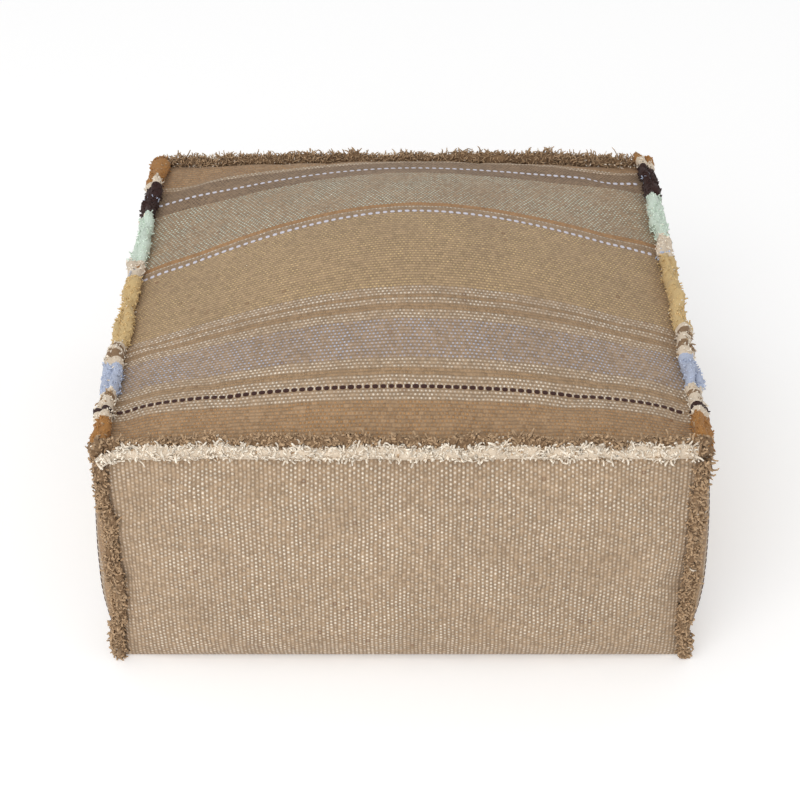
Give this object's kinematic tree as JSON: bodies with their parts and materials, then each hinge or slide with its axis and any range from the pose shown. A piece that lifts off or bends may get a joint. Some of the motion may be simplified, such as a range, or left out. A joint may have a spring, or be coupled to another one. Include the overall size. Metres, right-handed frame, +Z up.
{
  "type": "cube pouf stool",
  "caption": "Square stuffed floor pouf with a crowned top, swollen side panels and frayed yarn standing along its upper and upright seams.",
  "frame": {"origin": "middle of the base, on the surface the pouf stands on", "axes": "+Z up, the front panel faces -Y, +X to the right seen from the front"},
  "size_m": [0.68, 0.656, 0.3455],
  "materials": {
    "woven_cover": "matt hand-woven cloth, tan warp over thick cream and coloured weft, in plain bands on the top and sides",
    "cream_fringe": "frayed matt cotton yarn",
    "tan_fringe": "frayed matt warp yarn",
    "striped_fringe": "frayed matt weft yarn in the colours of the bands that end there"
  },
  "bodies": {
    "root": {"pouf_body": "woven_cover", "fringe_top_front": "tan_fringe", "fringe_front_top": "cream_fringe", "fringe_top_back": "tan_fringe", "fringe_back_top": "cream_fringe", "fringe_top_left": "striped_fringe", "fringe_left_top": "striped_fringe", "fringe_top_right": "striped_fringe", "fringe_right_top": "striped_fringe", "fringe_front_left": "tan_fringe", "fringe_left_front": "tan_fringe", "fringe_front_right": "tan_fringe", "fringe_right_front": "tan_fringe", "fringe_back_left": "tan_fringe", "fringe_left_back": "tan_fringe", "fringe_back_right": "tan_fringe", "fringe_right_back": "tan_fringe"}
  },
  "joints": []
}
